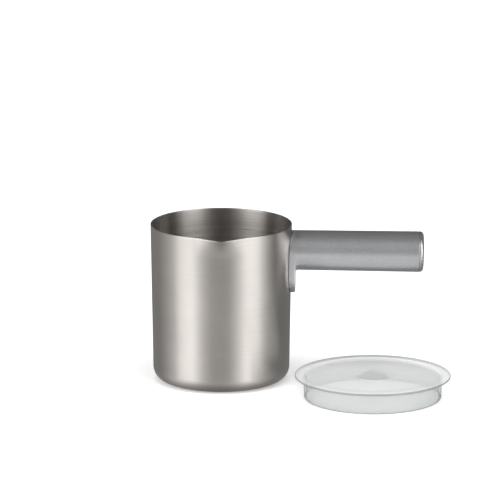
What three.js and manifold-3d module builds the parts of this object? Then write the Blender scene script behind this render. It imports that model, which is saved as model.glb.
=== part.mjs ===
// A milk frother jug: a brushed steel cup with a pouring lip and a side handle, a magnet-driven
// coil whisk that turns on a post in the cup, and a clear push-in lid lying on the table beside it.
//
// Millimetres, +Z up. The origin is the centre of the cup's underside. The handle points along +X
// and the pouring lip along -Y. The lid stands on its skirt, on the surface that the cup stands on.
import * as THREE from "three";
import { mergeVertices } from "three/addons/utils/BufferGeometryUtils.js";
import Module from "manifold-3d";

const wasm = await Module();
wasm.setup();

// ---------------------------------------------------------------- driving dimensions
const GAP = 0.3; // between pieces that are fixed to each other
const RUNNING_GAP = 0.25; // between pieces that turn or slide on each other

// Cup: a drawn shell that widens slightly from its foot to its rim.
const CUP_HEIGHT = 103.8;
const RIM_RADIUS = 46; // outside
const FOOT_RADIUS = 44.5; // outside, where the wall meets the corner
const CORNER_RADIUS = 9; // outside
const WALL = 0.8;
const FLOOR_RISE = 1.8; // the middle of the underside stands this far above the foot
const FOOT_RING = 3.5; // width of the flat ring between the corner and the raised middle

// Pouring lip: a V pulled out of the rim.
const LIP_REACH = 3.6;
const LIP_DROP = 1;
const LIP_HEIGHT = 14;
const LIP_HALF_ANGLE = THREE.MathUtils.degToRad(21);
const LIP_TIP_ROUNDING = 0.15; // as a share of the half angle
const LIP_FLARE = 1.3; // 1 is a straight-sided V, and more runs out softly into the rim

// Handle, square to the wall.
const HANDLE_BELOW_RIM = 17.85; // handle axis under the rim, at the wall
const HANDLE_REACH = 85.8; // from the wall to the handle's end
const NECK_RADIUS = 12.95;
const GRIP_END_RADIUS = 13.25;
const GRIP_WALL = 2.1; // at the neck
const PLATE_LENGTH = 41; // height of the plate that lies on the wall
const PLATE_THICKNESS = 2.8; // from the wall to the plate's outer face
const PLATE_EDGE = 1.2; // rounding round the outer face
const PLATE_RIM = 1.6; // of the plate's back that reaches the wall, round the gasket
const NECK_FILLET = 1.6; // under the neck, where it meets the plate
const BULKHEAD = 2; // inside the grip, between the nut and the core
const GASKET_THICKNESS = 0.5;
const GASKET_BAND = 3.2; // width of the gasket's frame round the bracket
const BRACKET_THICKNESS = 1.2;
const NUT_RADIUS = 4.8;
const NUT_LENGTH = 6;
const SCREW_RADIUS = 2.4;
const SCREW_HEAD_RADIUS = 4.4;
const SCREW_HEAD_LENGTH = 4;
const SCREW_SOCKET_RADIUS = 2.3;
const SCREW_SOCKET_DEPTH = 2.4;
const WASHER_RADIUS = 6;
const WASHER_THICKNESS = 1;
const LOCK_WASHER_WIRE = 1.4;
const CAP_THICKNESS = 2.8;
const CAP_EDGE = 2.4;
const CAP_SPIGOT_LENGTH = 5.5;
const CAP_SPIGOT_WALL = 1.8;
const SEAL_WIRE_RADIUS = 0.65;
const CORE_RIB = 2.2;
const CORE_HUB_RADIUS = 4.6;
const CORE_FLANGE = 2.5;

// Whisk post, and the whisk that lifts off it.
const POST_RADIUS = 2.4;
const POST_HEIGHT = 10.6;
const POST_FLANGE_RADIUS = 5.4;
const POST_FLANGE = 1.2;
const BUSH_WALL = 1.6;
const BUSH_FLANGE = 1;
const BUSH_FLANGE_REACH = 1.4;
const HUB_WALL = 3;
const HUB_CROWN = 2; // solid top of the hub
const ROTOR_RADIUS = 15; // of the drum that holds the magnets
const ROTOR_HEIGHT = 5;
const MAGNET_COUNT = 4;
const MAGNET_RADIUS = 2.6;
const MAGNET_HEIGHT = 2.8;
const COVER_THICKNESS = 0.9;
const RING_RADIUS = 23; // centre line of the ring that carries the coil
const RING_WIRE_RADIUS = 1.2;
const SPOKE_COUNT = 6;
const SPOKE_WIDTH = 1.5;
const SPOKE_HEIGHT = 1.6;
const TURNS_PER_SPOKE = 6;
const COIL_RADIUS = 2.6; // centre line of the wire, round the ring
const COIL_WIRE_RADIUS = 0.45;

// Lid, and where it lies.
const LID_OVERHANG = 4.2; // flange beyond the rim
const LID_HEIGHT = 14.9;
const LID_FLANGE = 1.6;
const LID_PANEL = 1.5;
const LID_PANEL_DROP = 0.6; // the middle panel lies this far under the flange
const LID_SKIRT_WALL = 1.5;
const LID_CLEARANCE = 0.6; // between the skirt and the cup's bore
const LID_DRAFT = 0.4; // the skirt is this much narrower at its lower edge
const LID_DISTANCE = 12.4; // between the lid's flange and the cup's rim
const LID_BEARING = THREE.MathUtils.degToRad(-26.2);
const EMBLEM_RADIUS = 10;
const EMBLEM_HEIGHT = 0.4;

const CUP_SEGMENTS = 72;
const HANDLE_SEGMENTS = 40;
const WHISK_SEGMENTS = 40;
const LID_SEGMENTS = 64;
const COIL_STEPS = 8; // in a turn of the whisk's coil

// ---------------------------------------------------------------- places worked out from them
const floorTop = FLOOR_RISE + WALL;
const handleZ = CUP_HEIGHT - HANDLE_BELOW_RIM;
const wallRadius = (z) =>
  FOOT_RADIUS + ((RIM_RADIUS - FOOT_RADIUS) * (z - CORNER_RADIUS)) / (CUP_HEIGHT - CORNER_RADIUS);
const wallX = wallRadius(handleZ);
const wallSlope = Math.atan2(RIM_RADIUS - FOOT_RADIUS, CUP_HEIGHT - CORNER_RADIUS);
const gripEnd = HANDLE_REACH - CAP_THICKNESS - GAP;
const gripBore = NECK_RADIUS - GRIP_WALL;
const spigotRadius = gripBore - GAP;
const nutStart = GAP + BRACKET_THICKNESS + GAP;
const nutEnd = nutStart + NUT_LENGTH;
const bulkheadEnd = nutEnd + GAP + BULKHEAD;
const coreStart = bulkheadEnd + GAP;
const capSpigotStart = HANDLE_REACH - CAP_THICKNESS - CAP_SPIGOT_LENGTH;
const headEnd = capSpigotStart - GAP;
const headStart = headEnd - SCREW_HEAD_LENGTH;
const lockWasherStart = headStart - GAP - 2 * LOCK_WASHER_WIRE;
const washerStart = lockWasherStart - GAP - WASHER_THICKNESS;
const coreEnd = washerStart - GAP;
const screwHole = SCREW_RADIUS + GAP;
const capSealX = (capSpigotStart + HANDLE_REACH - CAP_THICKNESS) / 2;

const bushBore = POST_RADIUS + RUNNING_GAP;
const bushRadius = bushBore + BUSH_WALL;
const bushStart = floorTop + GAP + POST_FLANGE + RUNNING_GAP;
const bushEnd = floorTop + POST_HEIGHT;
const coverBottom = bushStart;
const rotorBottom = coverBottom + COVER_THICKNESS + GAP;
const flangeBottom = coverBottom + COVER_THICKNESS + RUNNING_GAP;
const hubBore = bushRadius + RUNNING_GAP;
const hubCeiling = bushEnd + RUNNING_GAP;
const hubRadius = hubBore + HUB_WALL;
const magnetCircle = (hubBore + ROTOR_RADIUS) / 2;
const ringZ = rotorBottom + ROTOR_HEIGHT / 2;

const lidRadius = RIM_RADIUS + LID_OVERHANG;
const skirtRadius = RIM_RADIUS - WALL - LID_CLEARANCE;
const panelRadius = skirtRadius - LID_SKIRT_WALL;
const lidDistance = RIM_RADIUS + LID_DISTANCE + lidRadius;

// ---------------------------------------------------------------- helpers
const point = (x, y) => new THREE.Vector2(x, y);

/** Points of an arc about (x, y), from one angle to another, both in degrees. */
function arc(x, y, radius, from, to, steps = 4) {
  return Array.from({ length: steps + 1 }, (_, i) => {
    const angle = THREE.MathUtils.degToRad(from + ((to - from) * i) / steps);
    return point(x + radius * Math.cos(angle), y + radius * Math.sin(angle));
  });
}

/** A solid of revolution about +Z. Its profile holds (radius, z) and runs anticlockwise. */
function turned(profile, segments) {
  return new THREE.LatheGeometry(profile, segments).rotateX(Math.PI / 2);
}

/** A closed ring about +Z, whose profile is a loop that doesn't touch the axis. */
function turnedRing(profile, segments) {
  return turned([...profile, profile[0]], segments);
}

/** The same about +X, which is the handle's axis in its own frame: (radius, x). */
function turnedOnHandle(profile, segments = HANDLE_SEGMENTS) {
  return turned(profile, segments).rotateY(Math.PI / 2);
}

/** A plain disc or, with a bore, a plain ring, as a profile. */
function cylinderProfile(radius, from, to, bore = 0) {
  const loop = [point(bore, from), point(radius, from), point(radius, to), point(bore, to)];
  return bore ? [...loop, loop[0]] : loop;
}

/** A three.js geometry as a manifold-3d solid. */
function solid(geometry) {
  const bare = geometry.clone();
  bare.deleteAttribute("normal");
  bare.deleteAttribute("uv");
  const merged = mergeVertices(bare, 1e-4);
  const vertProperties = merged.attributes.position.array;
  const triVerts = new Uint32Array(merged.index.array);
  return new wasm.Manifold(new wasm.Mesh({ numProp: 3, vertProperties, triVerts }));
}

/** A manifold-3d solid as a three.js geometry. */
function geometryOf(body) {
  const { vertProperties, triVerts } = body.getMesh();
  const geometry = new THREE.BufferGeometry();
  geometry.setAttribute("position", new THREE.BufferAttribute(vertProperties, 3));
  geometry.setIndex(new THREE.BufferAttribute(triVerts, 1));
  geometry.computeVertexNormals();
  return geometry;
}

/** A cylinder on the handle's axis, as a solid. */
const rodOnHandle = (radius, from, to) => solid(turnedOnHandle(cylinderProfile(radius, from, to)));

/** Where the handle's own frame sits: on the wall, with +X square to it. */
const handlePlace = new THREE.Matrix4()
  .makeTranslation(wallX, 0, handleZ)
  .multiply(new THREE.Matrix4().makeRotationY(wallSlope));

/** The cup's outside in the handle's frame, let out by an offset and carried past both ends. */
function cupOutside(offset) {
  const below = -CUP_HEIGHT;
  const above = 2 * CUP_HEIGHT;
  const profile = [
    point(0, below),
    point(wallRadius(below) + offset, below),
    point(wallRadius(above) + offset, above),
    point(0, above),
  ];
  return solid(turned(profile, CUP_SEGMENTS).applyMatrix4(handlePlace.clone().invert()));
}

// ---------------------------------------------------------------- materials
const material = (color, roughness, metalness, more = {}) =>
  new THREE.MeshStandardMaterial({ color, roughness, metalness, ...more });

const materials = {
  brushedSteel: material(0xb9b4ad, 0.35, 1),
  baseSteel: material(0xa7a6a4, 0.5, 1),
  plainSteel: material(0xbcbcbc, 0.3, 1),
  silverPlastic: material(0x9b9c9d, 0.42, 0.6),
  nylon: material(0x3b3c3e, 0.6, 0),
  silicone: material(0x45474a, 0.7, 0),
  whiskPlastic: material(0x2c2d2f, 0.45, 0),
  bearing: material(0xd9d6cc, 0.5, 0),
  magnet: material(0x8b8c90, 0.25, 1),
  clearPlastic: material(0xe9eaea, 0.08, 0, { transparent: true, opacity: 0.35 }),
};

// ---------------------------------------------------------------- cup
/** How far a place on the wall is pulled out by the lip, from 0 to 1. */
function lipPull(angle, z) {
  const turned = THREE.MathUtils.euclideanModulo(angle + 1.5 * Math.PI, 2 * Math.PI);
  const away = Math.abs(turned - Math.PI);
  const along = Math.min(1, away / LIP_HALF_ANGLE);
  const rounded = (share) => Math.hypot(share, LIP_TIP_ROUNDING) - LIP_TIP_ROUNDING;
  const plan = Math.pow(1 - rounded(along) / rounded(1), LIP_FLARE);
  const height = Math.max(0, (z - CUP_HEIGHT + LIP_HEIGHT) / LIP_HEIGHT);
  return plan * height * height;
}

function cupShell() {
  const stepRadius = FOOT_RADIUS - CORNER_RADIUS - FOOT_RING;
  const lipRows = [1, 0.86, 0.72, 0.55, 0.35, 0];
  const wall = (inset) =>
    lipRows.map((share) => {
      const z = CUP_HEIGHT - LIP_HEIGHT * (1 - share);
      return point(wallRadius(z) - inset, z);
    });
  const cornerX = FOOT_RADIUS - CORNER_RADIUS;
  const profile = [
    point(0, FLOOR_RISE),
    point(stepRadius - FLOOR_RISE, FLOOR_RISE),
    point(stepRadius, 0),
    ...arc(cornerX, CORNER_RADIUS, CORNER_RADIUS, -90, 0, 6),
    ...wall(0).reverse(),
    ...wall(WALL),
    ...arc(cornerX, CORNER_RADIUS, CORNER_RADIUS - WALL, 0, -90, 6),
    point(stepRadius + WALL / 2, WALL),
    point(stepRadius - FLOOR_RISE + WALL / 2, floorTop),
    point(0, floorTop),
  ];
  const shell = turned(profile, CUP_SEGMENTS);
  const place = shell.getAttribute("position");
  for (let i = 0; i < place.count; i++) {
    const [x, y, z] = [place.getX(i), place.getY(i), place.getZ(i)];
    const pull = lipPull(Math.atan2(y, x), z);
    if (pull > 0) {
      const grow = 1 + (LIP_REACH * pull) / Math.hypot(x, y);
      place.setXYZ(i, x * grow, y * grow, z - LIP_DROP * pull);
    }
  }
  return shell;
}

/** The magnetic steel disc bonded into the raised middle of the underside. */
function heatingDisc() {
  const radius = FOOT_RADIUS - CORNER_RADIUS - FOOT_RING - FLOOR_RISE - 2 * GAP;
  return turned(cylinderProfile(radius, 0, FLOOR_RISE - GAP), CUP_SEGMENTS);
}

function whiskPost() {
  const foot = floorTop + GAP;
  const top = floorTop + POST_HEIGHT - GAP;
  const profile = [
    point(0, foot),
    point(POST_FLANGE_RADIUS, foot),
    point(POST_FLANGE_RADIUS, foot + POST_FLANGE),
    point(POST_RADIUS, foot + POST_FLANGE),
    ...arc(POST_RADIUS / 2, top - POST_RADIUS / 2, POST_RADIUS / 2, 0, 90, 3),
    point(0, top),
  ];
  return turned(profile, WHISK_SEGMENTS);
}

// ---------------------------------------------------------------- handle
/** The plate's outline in (y, z): straight sides, and round ends, the upper one round the axis. */
function plateOutline(inset = 0) {
  const radius = NECK_RADIUS - inset;
  const lower = 2 * NECK_RADIUS - PLATE_LENGTH;
  return new THREE.Shape([...arc(0, 0, radius, 0, 180, 14), ...arc(0, lower, radius, 180, 360, 14)]);
}

/** An outline in (y, z), extruded along +X. */
function extrudedAlongX(shape, from, to, bevel = 0) {
  const settings = {
    depth: to - from - bevel,
    bevelEnabled: bevel > 0,
    bevelSize: bevel,
    bevelThickness: bevel,
    bevelOffset: -bevel,
    bevelSegments: 3,
    steps: 1,
  };
  const turn = new THREE.Matrix4().makeBasis(
    new THREE.Vector3(0, 1, 0),
    new THREE.Vector3(0, 0, 1),
    new THREE.Vector3(1, 0, 0),
  );
  return new THREE.ExtrudeGeometry(shape, settings).applyMatrix4(turn).translate(from, 0, 0);
}

/** The plate's outline as a block that reaches from inside the cup to a distance from the wall. */
function plateBlock(inset, to, bevel = 0) {
  return solid(extrudedAlongX(plateOutline(inset), -NECK_RADIUS, to, bevel));
}

/** The block that the bracket is cut from, let out by a margin. It follows the plate's outline. */
function bracketBlock(margin) {
  return plateBlock(PLATE_RIM + GAP + GASKET_BAND + GAP - margin, PLATE_THICKNESS);
}

/** A layer that follows the wall, between two distances from it. */
const wallLayer = (body, near, far) => body.intersect(cupOutside(far)).subtract(cupOutside(near));

/** The curved plate that is welded to the wall and carries the handle's nut. */
function handleBracket() {
  return geometryOf(wallLayer(bracketBlock(0), GAP, GAP + BRACKET_THICKNESS));
}

/** A long round nut, its back cut to the bracket's curve. */
function bracketNut() {
  const blank = turnedOnHandle(cylinderProfile(NUT_RADIUS, 0, nutEnd, screwHole), 24);
  return geometryOf(solid(blank).subtract(cupOutside(nutStart)));
}

/** A thin frame between the plate's rim and the bracket. */
function wallGasket() {
  const sheet = plateBlock(PLATE_RIM + GAP, PLATE_THICKNESS);
  const layer = wallLayer(sheet, GAP, GAP + GASKET_THICKNESS);
  return geometryOf(layer.subtract(bracketBlock(GAP)));
}

/**
 * The plate that lies on the wall and the hollow grip, in one piece. Its back has room for the
 * gasket, the bracket and the nut, and a bulkhead in the grip takes the screw's pull.
 */
function handleBody() {
  const fillet = [
    point(0, 0),
    point(NECK_RADIUS + NECK_FILLET, 0),
    ...arc(NECK_RADIUS + NECK_FILLET, PLATE_THICKNESS + NECK_FILLET, NECK_FILLET, -90, -180, 3),
    point(0, PLATE_THICKNESS + NECK_FILLET),
  ];
  const grip = [
    point(0, -PLATE_THICKNESS),
    point(NECK_RADIUS, -PLATE_THICKNESS),
    point(NECK_RADIUS, PLATE_THICKNESS),
    point(GRIP_END_RADIUS, gripEnd),
    point(0, gripEnd),
  ];
  const gasketRoom = wallLayer(plateBlock(PLATE_RIM, PLATE_THICKNESS), 0, 2 * GAP + GASKET_THICKNESS);
  const bracketRoom = wallLayer(bracketBlock(GAP), 0, nutStart);
  const body = solid(turnedOnHandle(fillet))
    .intersect(plateBlock(0, PLATE_THICKNESS + 2 * NECK_FILLET))
    .add(plateBlock(0, PLATE_THICKNESS, PLATE_EDGE))
    .add(solid(turnedOnHandle(grip)))
    .subtract(cupOutside(GAP))
    .subtract(gasketRoom)
    .subtract(bracketRoom)
    .subtract(rodOnHandle(NUT_RADIUS + GAP, 0, nutEnd + GAP))
    .subtract(rodOnHandle(screwHole, 0, HANDLE_REACH))
    .subtract(rodOnHandle(gripBore, bulkheadEnd, HANDLE_REACH));
  return geometryOf(body);
}

/** The ribbed nylon core that takes the screw's load along the grip. */
function gripCore() {
  const reach = spigotRadius - GAP;
  const length = coreEnd - coreStart;
  const middle = (coreStart + coreEnd) / 2;
  const rib = (wide, tall) =>
    solid(new THREE.BoxGeometry(length, wide, tall).translate(middle, 0, 0));
  const ribTip = Math.sqrt(reach * reach - (CORE_RIB * CORE_RIB) / 4);
  const body = rodOnHandle(CORE_HUB_RADIUS, coreStart, coreEnd)
    .add(rib(CORE_RIB, 2 * ribTip))
    .add(rib(2 * ribTip, CORE_RIB))
    .add(rodOnHandle(reach, coreStart, coreStart + CORE_FLANGE))
    .add(rodOnHandle(reach, coreEnd - CORE_FLANGE, coreEnd))
    .subtract(rodOnHandle(screwHole, coreStart - 1, coreEnd + 1));
  return geometryOf(body);
}

function tieScrew() {
  const tip = nutStart + GAP;
  const shank = turnedOnHandle(
    [
      point(0, tip),
      point(SCREW_RADIUS - GAP, tip),
      point(SCREW_RADIUS, tip + 2 * GAP),
      point(SCREW_RADIUS, headStart),
      point(SCREW_HEAD_RADIUS, headStart),
      point(SCREW_HEAD_RADIUS, headEnd - GAP),
      point(SCREW_HEAD_RADIUS - GAP, headEnd),
      point(0, headEnd),
    ],
    30,
  );
  const socket = new THREE.CylinderGeometry(SCREW_SOCKET_RADIUS, SCREW_SOCKET_RADIUS, 1, 6);
  socket.scale(1, 2 * SCREW_SOCKET_DEPTH, 1).rotateZ(Math.PI / 2).translate(headEnd, 0, 0);
  return geometryOf(solid(shank).subtract(solid(socket)));
}

function plainWasher() {
  const end = washerStart + WASHER_THICKNESS;
  return turnedOnHandle(cylinderProfile(WASHER_RADIUS, washerStart, end, screwHole), 30);
}

/** A split spring washer: one open turn of square wire. */
function lockWasher() {
  const radius = SCREW_RADIUS + GAP + LOCK_WASHER_WIRE / 2;
  const opening = 0.25;
  const rise = LOCK_WASHER_WIRE * 0.5;
  class OpenTurn extends THREE.Curve {
    getPoint(t, target = new THREE.Vector3()) {
      const angle = opening + t * (2 * Math.PI - 2 * opening);
      return target.set(radius * Math.cos(angle), radius * Math.sin(angle), rise * t);
    }
  }
  const half = LOCK_WASHER_WIRE / 2;
  const section = new THREE.Shape(arc(0, 0, half * Math.SQRT2, 45, 315, 3));
  const turn = new THREE.ExtrudeGeometry(section, { steps: 28, extrudePath: new OpenTurn() });
  return turn.rotateY(Math.PI / 2).translate(lockWasherStart + half + GAP, 0, 0);
}

function endCap() {
  const face = HANDLE_REACH - CAP_THICKNESS;
  const groove = SEAL_WIRE_RADIUS + GAP / 2;
  const grooveFloor = spigotRadius - 2 * SEAL_WIRE_RADIUS + GAP / 2;
  const hollow = spigotRadius - CAP_SPIGOT_WALL - SEAL_WIRE_RADIUS;
  const profile = [
    point(0, face),
    point(hollow, face),
    point(hollow, capSpigotStart),
    point(spigotRadius, capSpigotStart),
    point(spigotRadius, capSealX - groove),
    point(grooveFloor, capSealX - groove),
    point(grooveFloor, capSealX + groove),
    point(spigotRadius, capSealX + groove),
    point(spigotRadius, face),
    point(GRIP_END_RADIUS, face),
    ...arc(GRIP_END_RADIUS - CAP_EDGE, HANDLE_REACH - CAP_EDGE, CAP_EDGE, 0, 90, 5),
    point(0, HANDLE_REACH),
  ];
  return turnedOnHandle(profile);
}

/** The rubber ring in the cap's groove. */
function capSeal() {
  const wire = SEAL_WIRE_RADIUS - GAP / 4;
  const ring = new THREE.TorusGeometry(spigotRadius - SEAL_WIRE_RADIUS + GAP / 2, wire, 8, 36);
  return ring.rotateY(Math.PI / 2).translate(capSealX, 0, 0);
}

// ---------------------------------------------------------------- whisk
/** The sleeve that the whisk turns on. Its flange is held between the carrier and its cover. */
function whiskBush() {
  const flange = bushRadius + BUSH_FLANGE_REACH;
  const profile = [
    point(bushBore, bushStart),
    point(bushRadius, bushStart),
    point(bushRadius, flangeBottom),
    point(flange, flangeBottom),
    point(flange, flangeBottom + BUSH_FLANGE),
    point(bushRadius, flangeBottom + BUSH_FLANGE),
    point(bushRadius, bushEnd),
    point(bushBore, bushEnd),
  ];
  return turnedRing(profile, WHISK_SEGMENTS);
}

const magnetAngle = (index) => ((index + 0.5) * 2 * Math.PI) / MAGNET_COUNT;

/** A disc on the magnets' circle. */
function onMagnetCircle(radius, from, to, index) {
  const x = magnetCircle * Math.cos(magnetAngle(index));
  const y = magnetCircle * Math.sin(magnetAngle(index));
  return turned(cylinderProfile(radius, from, to), 20).translate(x, y, 0);
}

/** Hub, magnet drum, spokes and outer ring in one moulding, with the magnet pockets open below. */
function whiskCarrier() {
  const rotorTop = rotorBottom + ROTOR_HEIGHT;
  const crown = hubCeiling + HUB_CROWN;
  const bushClearance = bushRadius + BUSH_FLANGE_REACH + RUNNING_GAP;
  const flangeRoom = flangeBottom + BUSH_FLANGE + RUNNING_GAP;
  const hub = turned(
    [
      point(0, hubCeiling),
      point(hubBore, hubCeiling),
      point(hubBore, flangeRoom),
      point(bushClearance, flangeRoom),
      point(bushClearance, rotorBottom),
      ...arc(ROTOR_RADIUS - 1, rotorBottom + 1, 1, -90, 0, 2),
      ...arc(ROTOR_RADIUS - 1.5, rotorTop - 1.5, 1.5, 0, 90, 3),
      point(hubRadius, rotorTop),
      ...arc(hubRadius - 2, crown - 2, 2, 0, 90, 3),
      point(0, crown),
    ],
    WHISK_SEGMENTS,
  );
  let body = solid(hub);
  const ring = new THREE.TorusGeometry(RING_RADIUS, RING_WIRE_RADIUS, 8, 60).translate(0, 0, ringZ);
  body = body.add(solid(ring));
  const spokeStart = ROTOR_RADIUS - 2;
  const spokeLength = RING_RADIUS - spokeStart;
  for (let i = 0; i < SPOKE_COUNT; i++) {
    const spoke = new THREE.BoxGeometry(spokeLength, SPOKE_WIDTH, SPOKE_HEIGHT);
    spoke.translate(spokeStart + spokeLength / 2, 0, ringZ).rotateZ((i * 2 * Math.PI) / SPOKE_COUNT);
    body = body.add(solid(spoke));
  }
  for (let i = 0; i < MAGNET_COUNT; i++) {
    const pocketTop = rotorBottom + MAGNET_HEIGHT + GAP;
    body = body.subtract(solid(onMagnetCircle(MAGNET_RADIUS + GAP, rotorBottom - 1, pocketTop, i)));
  }
  return geometryOf(body);
}

function whiskMagnet(index) {
  return onMagnetCircle(MAGNET_RADIUS, rotorBottom, rotorBottom + MAGNET_HEIGHT, index);
}

function magnetCover() {
  const top = coverBottom + COVER_THICKNESS;
  const profile = cylinderProfile(ROTOR_RADIUS - GAP, coverBottom, top, bushRadius + RUNNING_GAP);
  return turned(profile, WHISK_SEGMENTS);
}

/**
 * A coil spring bent into a hoop round the carrier's ring. Each spoke passes midway between two
 * turns, and the wire's two ends meet halfway between two spokes.
 */
function whiskCoil() {
  const turns = SPOKE_COUNT * TURNS_PER_SPOKE;
  const slit = GAP / (turns * COIL_RADIUS);
  const joint = Math.PI / SPOKE_COUNT + slit / 2;
  class Hoop extends THREE.Curve {
    getPoint(t, target = new THREE.Vector3()) {
      const round = joint + t * (2 * Math.PI - slit);
      const radius = RING_RADIUS + COIL_RADIUS * Math.cos(turns * round);
      const z = ringZ + COIL_RADIUS * Math.sin(turns * round);
      return target.set(radius * Math.cos(round), radius * Math.sin(round), z);
    }
  }
  const path = new Hoop();
  path.arcLengthDivisions = turns * 2 * COIL_STEPS;
  const section = new THREE.Shape(arc(0, 0, COIL_WIRE_RADIUS, 0, 288, 4));
  return new THREE.ExtrudeGeometry(section, {
    steps: turns * COIL_STEPS,
    extrudePath: path,
    bevelEnabled: false,
  });
}

// ---------------------------------------------------------------- lid
/** A drop with its point towards the back, in the middle of the lid. */
function dropOutline() {
  const tipAngle = 30;
  const reach = EMBLEM_RADIUS / Math.sin(THREE.MathUtils.degToRad(tipAngle));
  const centre = (EMBLEM_RADIUS - reach) / 2;
  const round = arc(0, centre, EMBLEM_RADIUS, 180 - tipAngle, 360 + tipAngle, 18);
  return new THREE.Shape([point(0, centre + reach), ...round]);
}

function lid() {
  const panelTop = LID_HEIGHT - LID_PANEL_DROP;
  const edge = LID_FLANGE / 2;
  const foot = skirtRadius - LID_DRAFT;
  const bore = foot - LID_SKIRT_WALL;
  const profile = [
    point(0, panelTop - LID_PANEL),
    point(panelRadius, panelTop - LID_PANEL),
    point(bore, 0),
    point(foot, 0),
    point(skirtRadius, LID_HEIGHT - LID_FLANGE),
    ...arc(lidRadius - edge, LID_HEIGHT - edge, edge, -90, 90, 4),
    point(panelRadius + LID_PANEL_DROP, LID_HEIGHT),
    point(panelRadius, panelTop),
    point(0, panelTop),
  ];
  const body = solid(turned(profile, LID_SEGMENTS));
  const emblem = new THREE.ExtrudeGeometry(dropOutline(), {
    depth: EMBLEM_HEIGHT + LID_PANEL / 2,
    bevelEnabled: false,
  });
  emblem.translate(0, 0, panelTop - LID_PANEL / 2);
  return geometryOf(body.add(solid(emblem)));
}

// ---------------------------------------------------------------- assembly
/** A group of named pieces, each one given as name, geometry and finish. */
function assembly(...pieces) {
  const group = new THREE.Group();
  for (const [name, geometry, finish] of pieces) {
    const mesh = new THREE.Mesh(geometry, finish);
    mesh.name = name;
    group.add(mesh);
  }
  return group;
}

const cup = assembly(
  ["cup_shell", cupShell(), materials.brushedSteel],
  ["heating_disc", heatingDisc(), materials.baseSteel],
  ["whisk_post", whiskPost(), materials.plainSteel],
);

const handle = assembly(
  ["handle_bracket", handleBracket(), materials.plainSteel],
  ["bracket_nut", bracketNut(), materials.plainSteel],
  ["wall_gasket", wallGasket(), materials.silicone],
  ["handle_body", handleBody(), materials.silverPlastic],
  ["grip_core", gripCore(), materials.nylon],
  ["tie_screw", tieScrew(), materials.plainSteel],
  ["plain_washer", plainWasher(), materials.plainSteel],
  ["lock_washer", lockWasher(), materials.plainSteel],
  ["end_cap", endCap(), materials.silverPlastic],
  ["cap_seal", capSeal(), materials.silicone],
);
handle.applyMatrix4(handlePlace);

const magnets = Array.from({ length: MAGNET_COUNT }, (_, i) => [
  `whisk_magnet_${i + 1}`,
  whiskMagnet(i),
  materials.magnet,
]);
const whisk = assembly(
  ["whisk_bush", whiskBush(), materials.bearing],
  ["whisk_carrier", whiskCarrier(), materials.whiskPlastic],
  ["magnet_cover", magnetCover(), materials.whiskPlastic],
  ["whisk_coil", whiskCoil(), materials.plainSteel],
  ...magnets,
);

const lidOnTable = assembly(["lid", lid(), materials.clearPlastic]);
lidOnTable.position.set(lidDistance, 0, 0).applyAxisAngle(new THREE.Vector3(0, 0, 1), LID_BEARING);

const frother = new THREE.Group();
frother.add(cup, handle, whisk, lidOnTable);

export default frother;
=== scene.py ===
"""Studio scene of a milk frother: a brushed steel cup, its side handle, its whisk and its lid.

Lengths are metres, except where a name ends in _mm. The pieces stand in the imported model's own
frame: the origin is the centre of the cup's underside, +Z is up, the handle points along +X and
the pouring lip along -Y.
"""

import logging
import math
from dataclasses import dataclass, field, replace
from enum import Enum
from functools import cached_property
from typing import Any, Iterable, Sequence

import bmesh
import bpy
from mathutils import Matrix, Vector


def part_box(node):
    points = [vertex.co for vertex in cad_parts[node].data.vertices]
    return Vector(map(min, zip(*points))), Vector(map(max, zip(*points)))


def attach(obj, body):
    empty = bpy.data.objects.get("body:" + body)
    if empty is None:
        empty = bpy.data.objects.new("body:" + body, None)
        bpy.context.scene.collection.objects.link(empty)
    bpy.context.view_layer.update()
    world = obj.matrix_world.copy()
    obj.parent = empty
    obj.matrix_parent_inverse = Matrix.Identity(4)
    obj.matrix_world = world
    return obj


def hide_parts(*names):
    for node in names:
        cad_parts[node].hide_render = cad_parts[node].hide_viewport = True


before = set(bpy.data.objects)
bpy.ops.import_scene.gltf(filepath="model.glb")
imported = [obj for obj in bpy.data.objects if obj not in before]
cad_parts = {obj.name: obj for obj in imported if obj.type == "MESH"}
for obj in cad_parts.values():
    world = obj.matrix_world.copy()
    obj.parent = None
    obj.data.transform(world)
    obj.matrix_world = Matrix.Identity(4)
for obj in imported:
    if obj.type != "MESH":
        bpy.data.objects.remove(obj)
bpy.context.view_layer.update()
MM = 0.001
LOG = logging.getLogger("milk_frother")

Ring = list[Vector]
Point = tuple[float, float]


# ---------------------------------------------------------------- colour and nodes
def linear(hex_colour: str) -> tuple[float, float, float, float]:
    """Turn an sRGB hex colour into linear RGBA.

    Args:
        hex_colour: Six hex digits after a hash, such as "#C8C4BE".

    Returns:
        The linear red, green and blue, and an alpha of 1.
    """
    channels = [int(hex_colour[i : i + 2], 16) / 255 for i in (1, 3, 5)]
    red, green, blue = (
        c / 12.92 if c <= 0.04045 else ((c + 0.055) / 1.055) ** 2.4 for c in channels
    )
    return red, green, blue, 1.0


def add_node(
    tree: bpy.types.NodeTree,
    kind: str,
    inputs: dict[str | int, Any] | None = None,
    **settings: Any,
) -> bpy.types.Node:
    """Add a node, with its settings, its socket values and its links.

    Args:
        tree: The node tree that the node goes in.
        kind: The node's type name, without "ShaderNode".
        inputs: A value, or an output socket to link from, for each input by name or number.
        **settings: The node's own attributes.

    Returns:
        The new node.
    """
    node = tree.nodes.new("ShaderNode" + kind)
    for name, value in settings.items():
        setattr(node, name, value)
    for name, value in (inputs or {}).items():
        if isinstance(value, bpy.types.NodeSocket):
            tree.links.new(value, node.inputs[name])
        else:
            node.inputs[name].default_value = value
    return node


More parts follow.
